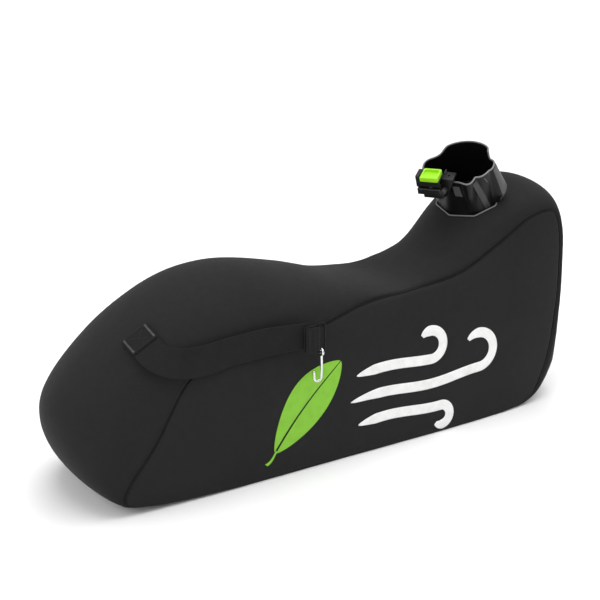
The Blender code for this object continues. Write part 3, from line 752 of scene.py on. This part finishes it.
def collar_share(height):
    """How far the section has gone from the round neck, 0, to the shaped rim, 1."""
    stops = [(0.004, 0.0), (0.022, 0.3), (0.042, 0.8), (0.060, 1.0), (0.2, 1.0)]
    for (low, here), (high, there) in zip(stops, stops[1:]):
        if height <= high:
            return here + (there - here) * max(0.0, height - low) / (high - low)
    return 1.0


def collar_point(angle, height, proud=0.0):
    radius = COLLAR_RADIUS + (collar_outline(angle) - COLLAR_RADIUS) * collar_share(height)
    radius += boss_reach(angle, height) + proud
    return Vector((radius * math.cos(angle), radius * math.sin(angle), height))


def collar_ring(rise, proud, drop=0.0):
    """Points round the wall at a share of the way up to the rim, less a drop."""
    ring = []
    for angle in full_turn(COLLAR_POINTS):
        height = NECK_TOP + (rim_height(angle) - NECK_TOP) * rise - drop
        ring.append(collar_point(angle, height, proud))
    return ring


def foot_radius(turn):
    """An eight-sided moulded foot with softened corners, a little wider than the neck."""
    off = (math.degrees(turn) + 160) % 45 - 22.5
    return (COLLAR_RADIUS + 0.0018) * min(1.07, 1 / math.cos(math.radians(off)))


def make_collar():
    low = 0.0003
    rises, turns = even(30)[:-1], full_turn(COLLAR_POINTS)

    def foot_ring(inset, height):
        return [Vector((math.cos(turn), math.sin(turn), 0)) * (foot_radius(turn) - inset)
                + Vector((0, 0, height)) for turn in turns]

    rings = [foot_ring(0.0, low), foot_ring(0.0, NECK_TOP - 0.0006),
             foot_ring(0.0004, NECK_TOP - 0.0001)]
    rings += [collar_ring(rise, 0.0) for rise in rises]
    rings += [collar_ring(1, proud, drop) for proud, drop in (
        (0.0, 0.0008), (-0.0003, 0.0002), (-0.0008, 0.0), (-0.0017, 0.0), (-0.0022, 0.0002),
        (-COLLAR_WALL, 0.0008))]
    rings += [collar_ring(rise, -COLLAR_WALL) for rise in reversed(rises)]
    rings += [[Vector((NECK_RADIUS * math.cos(turn), NECK_RADIUS * math.sin(turn), low))
               for turn in turns]]
    add_to_bag("collar_wall", moved(skin(rings, closed=True), COLLAR), "collar_plastic", 28,
               "collar_plastic", "collar_body")
    # pale lines along the rim and the foot: painted highlights where they catch the light
    rim = [collar_point(turn, rim_height(turn) - 0.0002, -COLLAR_WALL / 2) for turn in turns]
    for name, line, radius in (("collar_rim_highlight", rim, 0.0014),
                               ("collar_foot_highlight", foot_ring(0.0, NECK_TOP + 0.0002), 0.0012)):
        add_to_bag(name, moved(wire(line, radius, 10, True), COLLAR), "edge_highlight_plastic", 40,
                   "collar_plastic")
    # a near-black matt sheet just inside the wall: painted shade, so the collar's inside reads dark
    bore = [collar_ring(rise, -COLLAR_WALL - 0.0001, 0.0012) for rise in rises[1:]]
    bore += [collar_ring(rise, -COLLAR_WALL - 0.0005, 0.0012) for rise in reversed(rises[1:])]
    add_to_bag("collar_bore_shade", moved(skin(bore, closed=True), COLLAR), "painted_shade_plastic", 28,
               "collar_plastic")
    make_collar_ribs()


def slanted_rib(name, start, end, half_width, proud, finish):
    """A moulded rib from (angle, height) to (angle, height) on the collar's wall."""
    rings, turn = [], half_width / COLLAR_RADIUS
    for share in even(14):
        angle = math.radians(start[0] + (end[0] - start[0]) * share)
        height = start[1] + (end[1] - start[1]) * share
        ends = min(1.0, share * 8 + 0.12, (1 - share) * 8 + 0.12)
        section = [(-1.0, -0.0012), (-0.86, proud * 0.8 * ends), (-0.7, proud * ends),
                   (0.7, proud * ends), (0.86, proud * 0.8 * ends), (1.0, -0.0012)]
        rings.append([collar_point(angle + turn * across, height, out) for across, out in section])
    add_to_bag(name, moved(skin(rings), COLLAR), finish, 35, "collar_plastic")


def wall_facet(name, left, right, low, high, proud, finish):
    """A flat raised land on the wall between two slanting edges given as (low, high) angles."""
    def place(s, t):
        height = low + (high - low) * t
        first = left[0] + (left[1] - left[0]) * t
        last = right[0] + (right[1] - right[0]) * t
        angle = math.radians(first + (last - first) * s)
        height = min(height, rim_height(angle) - 0.0016)
        lip = min(1.0, min(s, 1 - s) * 14, min(t, 1 - t) * 14)
        return collar_point(angle, height, proud * lip - 0.0006 * (1 - lip))

    bm = mapped_grid(even(28), even(28), place, lambda s, t: (s, t))
    add_to_bag(name, moved(bm, COLLAR), finish, 30, "collar_plastic")


def make_collar_ribs():
    """Places are degrees round the collar and heights up its wall."""
    # the two lands, the catch and the front rib are paler plastic: painted highlights where the wall
    # catches the light
    wall_facet("collar_boss_face", (-61, -60), (-30, -30), 0.006, 0.0710, 0.0007, "face_highlight_plastic")
    wall_facet("collar_gusset", (-146, -150), (-130, -135), 0.043, 0.0640, 0.0007, "face_highlight_plastic")
    slanted_rib("collar_front_rib", (-105, 0.0665), (-83, 0.0065), 0.0060, 0.0014, "soft_highlight_plastic")
    slanted_rib("collar_catch", (-84, 0.0665), (-79, 0.056), 0.0011, 0.0022, "face_highlight_plastic")
    slanted_rib("collar_side_rib", (-128, 0.060), (-122, 0.020), 0.0012, 0.0010, "collar_plastic")
    slanted_rib("collar_back_rib", (66, 0.070), (66, 0.010), 0.0016, 0.0016, "collar_plastic")
    slanted_rib("collar_rear_rib", (25, 0.078), (25, 0.010), 0.0016, 0.0016, "collar_plastic")


# ---- the latch
def pad_ring(half_x, half_y, centre_y, height, corner, tilt):
    """A rounded rectangle; a higher corner number makes squarer corners."""
    ring, points = [], 96
    for i in range(points):
        t = 2 * math.pi * (i + 0.5) / points
        c, s = math.cos(t), math.sin(t)
        x = half_x * math.copysign(abs(c) ** (2 / corner), c)
        y = half_y * math.copysign(abs(s) ** (2 / corner), s)
        ring.append(Vector((x, centre_y + y, height + tilt * y)))
    return ring


def make_button():
    """The button's side, rounded edge and finger scoop, as rings that step inwards."""
    half_x, half_y, middle = LATCH_HALF - 0.0022, 0.0135, -0.0020
    steps = [(0.0006, 0.0006, -0.0082, 14, 0.0), (0.0, 0.0, -0.0076, 14, 0.0),
             (0.0, 0.0, -0.0018, 14, 0.0), (0.0002, 0.0002, -0.0010, 13, 0.0),
             (0.0007, 0.0007, -0.0003, 12, 0.0), (0.0016, 0.0016, 0.0, 11, 0.0),
             (0.0030, 0.0034, 0.0, 9, 0.0), (0.0034, 0.0038, -0.0002, 9, -0.008),
             (0.0038, 0.0042, -0.0012, 9, -0.10), (0.0043, 0.0047, -0.0021, 8, -0.20),
             (0.0054, 0.0058, -0.0023, 7, -0.22), (0.0090, 0.0085, -0.0024, 5, -0.22)]
    rings = [pad_ring(half_x - inset_x, half_y - inset_y, middle, height, corner, tilt)
             for inset_x, inset_y, height, corner, tilt in steps]
    rings.append(pad_ring(0.0012, 0.0008, middle, -0.0024, 3, -0.22))
    button = add_piece("button_cap", moved(skin(rings), LATCH), "lime_plastic", 40)
    settle_piece(button, "latch", "lime_plastic", "latch_button")


def make_latch():
    make_button()
    half = LATCH_HALF
    # bracket on the right, with a screw hole and a round barrel below it; the hole is a near-black
    # disc of painted shade, and the hole's lip and the barrel are paler plastic, painted highlights
    x0, x1 = half + 0.0001, half + 0.0195
    outline = [(x0, -0.0080), (x1, -0.0090), (x1 + 0.0003, -0.0125), (x0 + 0.0075, -0.0400),
               (x0 + 0.0040, -0.0440), (x0, -0.0440)]
    bracket = skin([[(x, y, z) for x, z in outline] for y in (-0.0040, 0.0165)])
    bmesh.ops.bevel(bracket, geom=bracket.edges[:], offset=0.0009, segments=2, profile=0.5,
                    affect="EDGES", material=-1)
    spot = Vector((x0 + 0.0100, 0.0060, -0.0084))
    lip = [spot + Vector((0.0032 * math.cos(t), 0.0032 * math.sin(t), 0.0001))
           for t in full_turn(40)]
    # left cheek, tray, lug under the button, and the two side plates
    shell = [block((-half - 0.0070, -0.0105, -0.0235), (-half - 0.0003, 0.0110, -0.0018), 0.0014),
             block((-half - 0.0048, -0.0148, -0.0350), (half - 0.0002, -0.0040, -0.0236), 0.0014),
             block((-half + 0.0002, -0.0030, -0.0500), (half - 0.0002, 0.0120, -0.0316), 0.0010),
             block((-half - 0.0022, -0.0090, -0.0270), (-half - 0.0002, 0.0210, -0.0065), 0.0007),
             block((half + 0.0002, 0.0100, -0.0270), (half + 0.0022, 0.0210, -0.0065), 0.0007)]
    # a pale strip along the tray's top edge: painted highlight
    split = block((-half - 0.0046, -0.0151, -0.0243), (half - 0.0006, -0.0145, -0.0236), 0.0002, 1)
    barrel = rod((half + 0.0034, -0.0125, -0.0290), (half + 0.0034, 0.0015, -0.0290),
                 0.0046, 40, 0.0005)
    parts = [("latch_bracket", bracket, "collar_plastic"),
             ("latch_split_highlight", split, "face_highlight_plastic"),
             ("bracket_hole", rod(spot, spot + Vector((0, 0, 0.0003)), 0.0029, 32), "painted_shade_plastic"),
             ("bracket_hole_lip", wire(lip, 0.0005, 8, True), "soft_highlight_plastic"),
             ("bracket_barrel", barrel, "soft_highlight_plastic"),
             ("latch_shell", merged(*shell), "latch_plastic")]
    for name, part, finish in parts:
        add_to_bag(name, moved(part, LATCH), finish, 30, "collar_plastic")
    # the black parts keep their solids; the pin and spring get finer ones
    y, z = PIVOT
    pin = rod((-half - 0.0030, y, z), (half + 0.0030, y, z), PIN_RADIUS, 32, 0.0004)
    add_to_bag("pin_turned", moved(pin, LATCH), "bright_steel", 30, "bright_steel", "latch_pin")
    turns, low, high, coil_radius = 4, -0.0283, -0.0149, 0.0025
    coil = [Vector((coil_radius * math.cos(t), -0.0085 + coil_radius * math.sin(t),
                    low + (high - low) * t / (2 * math.pi * turns)))
            for t in (2 * math.pi * i / 24 for i in range(turns * 24 + 1))]
    spring = add_to_bag("spring_wire", moved(wire(coil, 0.0005, 8), LATCH), "zip_metal", 60,
                        "bright_steel", "latch_spring")
    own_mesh(spring)


# ---- strap, ring and hook
def strap_spot(share):
    u, v, lift = curve_at(STRAP_ROUTE, share)
    normal = top_normal(u, v)
    return top_point(u, v) + normal * lift, normal


def strap_frame(share):
    """Point, crosswise, outward and lengthwise directions of the strap's underside."""
    point, normal = strap_spot(share)
    step = 0.012
    ahead, behind = strap_spot(min(1, share + step))[0], strap_spot(max(0, share - step))[0]
    along = (ahead - behind).normalized()
    across = normal.cross(along).normalized()
    return point, across, along.cross(across), along


def strap_point(share, across, lift=0.0):
    """A place on the strap: share of its length, crosswise from -1 to 1, height above its face."""
    point, side, normal, _ = strap_frame(share)
    edge = 0.0003 * math.exp(-((1 - abs(across)) / 0.06) ** 2)
    loose = 0.0042 * math.exp(-((share - 0.27) / 0.15) ** 2) * (1 - across) / 2
    wave = 0.0004 * math.sin(share * 31) * across
    width = STRAP_WIDTH - 0.004 * smoothstep((share - 0.8) / 0.2)
    height = STRAP_THICKNESS + lift - edge + loose + wave
    return point + side * across * width / 2 + normal * height


def strap_length():
    spots = [strap_spot(share)[0] for share in even(200)]
    return sum((b - a).length for a, b in zip(spots, spots[1:]))


def make_strap():
    length = strap_length()

    def weave(s, t):
        return s * length, (2 * t - 1) * STRAP_WIDTH / 2

    bm = mapped_grid(even(150), edge_weighted(24), lambda s, t: strap_point(s, 2 * t - 1), weave)
    strap = add_cloth("carry_strap", bm, "black_webbing", STRAP_THICKNESS * 0.9,
                      "black_webbing", "strap_webbing")
    # doubled end, sewn down with a box and cross
    start, end = 0.012, 0.108
    bm = mapped_grid([start + (end - start) * i / 30 for i in range(31)], edge_weighted(24),
                     lambda s, t: strap_point(s, (2 * t - 1) * 0.975, 0.0021), weave)
    patch = add_cloth("strap_patch_cloth", bm, "black_webbing", 0.0016, "black_webbing",
                      "strap_patch")
    box_stitches("strap_box_stitch", start + 0.010, end - 0.010, 0.84)
    for name, across in (("strap_tack_outer", -0.84), ("strap_tack_inner", 0.84)):
        tack(name, across, start + 0.012, end - 0.012)


def stitch_line(first, second, pitch=0.0026):
    """Rows of three points for stitches between two (share, across) places on the patch."""
    here, there = strap_point(*first), strap_point(*second)
    count = max(1, round((there - here).length / pitch))

    def at(t):
        share, across = (a + (b - a) * t for a, b in zip(first, second))
        return strap_point(share, across, 0.0022)
    return [[at((i + k) / count) for k in (0.08, 0.45, 0.82)] for i in range(count)]


def box_stitches(name, start, end, edge):
    corners = [(start, -edge), (end, -edge), (end, edge), (start, edge)]
    lines = list(zip(corners, corners[1:] + corners[:1]))
    lines += [(corners[0], corners[2]), (corners[1], corners[3])]
    rows = [row for first, second in lines for row in stitch_line(first, second)]
    normal = strap_spot((start + end) / 2)[1]
    add_stitches(name, rows, [normal] * len(rows), 0.00036, "grey_thread", "black_webbing")


def tack(name, across, first, last, count=24):
    """A bar tack: tight stitches side by side along the strap's edge."""
    normal = strap_spot((first + last) / 2)[1]
    rows = [[strap_point(first + (last - first) * i / (count - 1), across + k, 0.0022)
             for k in (-0.075, 0.0, 0.075)] for i in range(count)]
    add_stitches(name, rows, [normal] * count, 0.00050, "pale_thread", "black_webbing")


def make_strap_end():
    """The webbing folded round the ring's upright wire, and sewn."""
    x, y, z = TAB_START
    thickness = 0.0015
    bend = RING_WIRE + 0.0008 + thickness
    length = 2 * TAB_LENGTH + math.pi * bend

    def place(s, t):
        run, height = s * length, z + (t - 0.5) * TAB_HEIGHT
        if run < TAB_LENGTH:
            return Vector((x + run, y - bend, height))
        if run > length - TAB_LENGTH:
            return Vector((x + length - run, y + bend, height))
        turn = -math.pi / 2 + (run - TAB_LENGTH) / bend
        return Vector((x + TAB_LENGTH + bend * math.cos(turn), y + bend * math.sin(turn), height))

    bm = mapped_grid(even(60), edge_weighted(20), place,
                     lambda s, t: (s * length, t * TAB_HEIGHT))
    tab = add_cloth("strap_fold", bm, "black_webbing", thickness, "black_webbing", "strap_end_tab")
    face, rows = y - bend - 0.0001, []
    for column in (0.0045, 0.0065, 0.0140):
        for i in range(13):
            low = z - TAB_HEIGHT / 2 + 0.003 + i * 0.0027
            rows.append([Vector((x + column, face, low + k)) for k in (0.0, 0.0009, 0.0018)])
    add_stitches("strap_fold_stitch", rows, [Vector((0, -1, 0))] * len(rows), 0.00035,
                 "grey_thread", "black_webbing")


def make_ring_and_hook():
    x, y, z = TAB_START
    half, corner = TAB_HEIGHT / 2 + 0.003, 0.003
    left, low, high = x + TAB_LENGTH, z - half, z + half
    right, loop = left + RING_REACH, []
    for cx, cz, start in ((right - corner, high - corner, 90), (right - corner, low + corner, 0),
                          (left + corner, low + corner, -90), (left + corner, high - corner, 180)):
        loop += arc((cx, y, cz), corner, start, start - 90, 10)
    ring = add_piece("ring_wire", wire(loop, RING_WIRE, 20, True), "black_steel", 60)
    settle_piece(ring, "ring", "zip_metal", "strap_ring")
    pivot = Vector(((left + right) / 2 + 0.0005, y, low))
    eye_radius = RING_WIRE + HOOK_WIRE + 0.0011
    eye = wire([pivot + Vector((0, eye_radius * math.cos(t), eye_radius * math.sin(t)))
                for t in full_turn(48)], HOOK_WIRE, 20, True)
    top, bottom = -eye_radius - 0.0004, -eye_radius - HOOK_LENGTH
    path = [Vector((0.0006 * math.sin(math.pi * i / 16), 0, top + (bottom - top) * i / 16))
            for i in range(16)]
    path += arc((-HOOK_BEND, 0, bottom), HOOK_BEND, 0, -180, 28)
    path += [Vector((-2 * HOOK_BEND - 0.0006 * i / 8, 0, bottom + HOOK_TIP * i / 8))
             for i in range(1, 9)]
    # the tip tapers to a rounded point
    radii = [HOOK_WIRE] * (len(path) - 3) + [HOOK_WIRE * 0.96, HOOK_WIRE * 0.8, HOOK_WIRE * 0.45]
    path[-2:] = [path[-2] + Vector((0, 0, 0.0012)), path[-1] + Vector((0, 0, 0.0002))]
    shank = wire([pivot + p for p in path], radii, 20)
    hook = add_piece("hook_wire", merged(eye, shank), "bright_steel", 60)
    settle_piece(hook, "hook", "bright_steel", "hook_body")


# ---- the zip in the heel
def make_zip():
    inside, run = HEEL_X - 0.002, ZIP_HIGH - ZIP_LOW
    for side, name in ((-1, "near"), (1, "far")):
        edges = sorted((side * 0.0005, side * 0.0145))
        bm = mapped_grid([ZIP_LOW - 0.006 + (ZIP_HIGH - ZIP_LOW + 0.012) * i / 60 for i in range(61)],
                         [edges[0] + (edges[1] - edges[0]) * i / 10 for i in range(11)],
                         lambda z, y: Vector((inside - 0.0014, y, z)), lambda z, y: (z, y))
        bmesh.ops.reverse_faces(bm, faces=bm.faces)
        tape = add_cloth(f"zip_tape_{name}", bm, "black_webbing", 0.0009, "black_webbing",
                         f"zipper_tape_{name}")
        # the cloth's bound edge beside the teeth
        edge = [Vector((HEEL_X - 0.0002, side * (ZIP_SLOT + 0.0006), ZIP_LOW + run * i / 60))
                for i in range(61)]
        add_to_bag(f"zip_binding_{name}", wire(edge, 0.0010, 8), "thread_cloth", 60,
                   "panel_fabric")
        rows = []
        for i in range(44):
            low = ZIP_LOW + 0.002 + i * 0.0042
            rows.append([Vector((HEEL_X + 0.0001, side * 0.0105, low + k))
                         for k in (0, 0.0015, 0.003)])
        add_stitches(f"zip_stitch_{name}", rows, [Vector((1, 0, 0))] * len(rows), 0.0003)
    teeth, pitch = [], 0.0025
    for i in range(int((run - 0.018) / pitch)):
        side = 1 if i % 2 else -1
        low = ZIP_LOW + 0.009 + i * pitch
        wide = sorted((-side * 0.0011, side * 0.0037))
        teeth.append(block((inside - 0.0012, wide[0], low),
                           (HEEL_X - 0.0002, wide[1], low + 0.0017), 0.0004, 1))
    add_to_bag("zip_teeth_cut", merged(*teeth), "zip_metal", 30, "zip_metal", "zipper_teeth")


def make_pull():
    """A pull tab with a ribbed grip, on a wire link."""
    link_top = Matrix.Translation((HEEL_X + 0.0044, 0, SLIDER_Z - 0.0022))
    tab = block((-0.0008, -0.0045, -0.0330), (0.0008, 0.0045, -0.0090), 0.0006, 3)
    ribs = [block((-0.0011, -0.0034, -0.0310 + i * 0.0022),
                  (0.0011, 0.0034, -0.0300 + i * 0.0022), 0.0003, 2) for i in range(7)]
    half = [(-0.003, -0.0105), (-0.003, -0.006), (-0.003, -0.0015), (-0.0026, -0.0005),
            (-0.0016, 0)]
    loop = [(0, y, z) for y, z in half] + [(0, -y, z) for y, z in reversed(half)]
    pull = add_piece("pull_tab", moved(merged(tab, wire(loop, 0.0006, 12), *ribs), link_top),
                     "zip_metal", 35)
    settle_piece(pull, "pull", "zip_metal", "zipper_pull")


# ---- the print on the near side
def on_side(tree, x, z, lift=0.00035):
    """A place on the near side's cloth, a little proud of it."""
    hit = tree.ray_cast(Vector((x, -0.3, z)), Vector((0, 1, 0)))[0]
    return hit + Vector((0, -lift, 0))


def printed(name, tree, columns, rows, spot, finish):
    bm = mapped_grid(even(columns), even(rows), lambda s, t: on_side(tree, *spot(s, t)),
                     lambda s, t: (s, t))
    bmesh.ops.recalc_face_normals(bm, faces=bm.faces)
    if sum(f.normal.y for f in bm.faces) > 0:
        bmesh.ops.reverse_faces(bm, faces=bm.faces)
    add_cloth(name, bm, finish, 0.0003, "panel_fabric")


def make_print():
    """A leaf and three gusts of wind, in x and z on the near side."""
    tree = BVHTree.FromObject(bpy.data.objects["side_cloth_near"],
                              bpy.context.evaluated_depsgraph_get())
    stem, tip = Vector((-0.150, 0.045)), Vector((-0.030, 0.168))
    spine = tip - stem
    across = Vector((-spine.y, spine.x)).normalized()
    leaf_width, vein_width = 0.037, 0.0020
    for side, name in ((1, "upper"), (-1, "lower")):
        def leaf(s, t, side=side):
            bow = 0.008 * math.sin(math.pi * s)
            width = leaf_width * max(0.0, math.sin(math.pi * (0.004 + 0.992 * s) ** 0.86)) ** 0.82
            centre = stem + spine * s + across * bow
            vein = vein_width * (1 - 0.6 * s)
            along = spine.normalized() * 0.5 * width * t
            return centre + across * side * (vein + width * t) + along
        printed(f"leaf_{name}", tree, 80, 20, leaf, "lime_print")

    def stalk(s, t):
        bend = Vector((-0.0165 + 0.0185 * s,
                       -0.0175 + 0.0195 * s - 0.004 * math.sin(math.pi * s)))
        return stem + bend + across * (t - 0.5) * (0.0055 - 0.0025 * s)
    printed("leaf_stalk", tree, 24, 6, stalk, "lime_print")

    # each gust: where it starts, its run, the radius of its curl, and the way it curls
    gusts = [("gust_top", (0.000, 0.136), 0.170, 0.024, 1),
             ("gust_middle", (-0.012, 0.094), 0.285, 0.030, 1),
             ("gust_low", (0.002, 0.052), 0.180, 0.017, -1)]
    gust_width, sway = 0.0170, 0.004
    for name, start, run, curl, turn in gusts:
        def gust(s, t, start=start, run=run, curl=curl, turn=turn):
            straight = run - curl
            at = s * (straight + curl * math.pi * 1.25)
            if at < straight:
                centre = Vector((start[0] + at, start[1] + sway * math.sin(at * 30)))
                direction = Vector((1, 0.12 * math.cos(at * 30))).normalized()
            else:
                bend = (at - straight) / curl
                base = start[1] + sway * math.sin(straight * 30)
                centre = Vector((start[0] + straight + curl * math.sin(bend),
                                 base + turn * curl * (1 - math.cos(bend))))
                direction = Vector((math.cos(bend), turn * math.sin(bend)))
            ends = min(1.0, s * 7) ** 0.6 * min(1.0, (1 - s) * 14 + 0.15) ** 0.5
            side = Vector((-direction.y, direction.x))
            return centre + side * (t - 0.5) * gust_width * max(0.04, ends)
        printed(name, tree, 160, 8, gust, "white_print")


# ---- putting it together
def finish_nodes():
    """Give every solid that still shows its finish."""
    looks = {"collar_clamp_ring": "collar_plastic", "latch_housing": "latch_plastic",
             "latch_lever": "latch_plastic", "seam_tape_near": "plain_webbing",
             "seam_tape_far": "plain_webbing", "zipper_slider": "zip_metal",
             "zipper_stop_bottom": "zip_metal", "zipper_stop_top": "zip_metal"}
    looks.update({f"collar_screw_{i}": "bright_steel" for i in range(1, 5)})
    for name, look in looks.items():
        mesh = bpy.data.objects[name].data
        mesh.materials.clear()
        mesh.materials.append(FINISH[look])


make_camera()
make_stage()
make_strip()
make_side("near", -1)
make_side("far", 1)
for seam, side in (("near", -1), ("far", 1)):
    seam_stitches(f"seam_stitch_{seam}", side)
    seam_cord(f"seam_cord_{seam}", side)
make_collar()
make_latch()
make_strap()
make_strap_end()
make_ring_and_hook()
make_zip()
make_pull()
make_print()
finish_nodes()
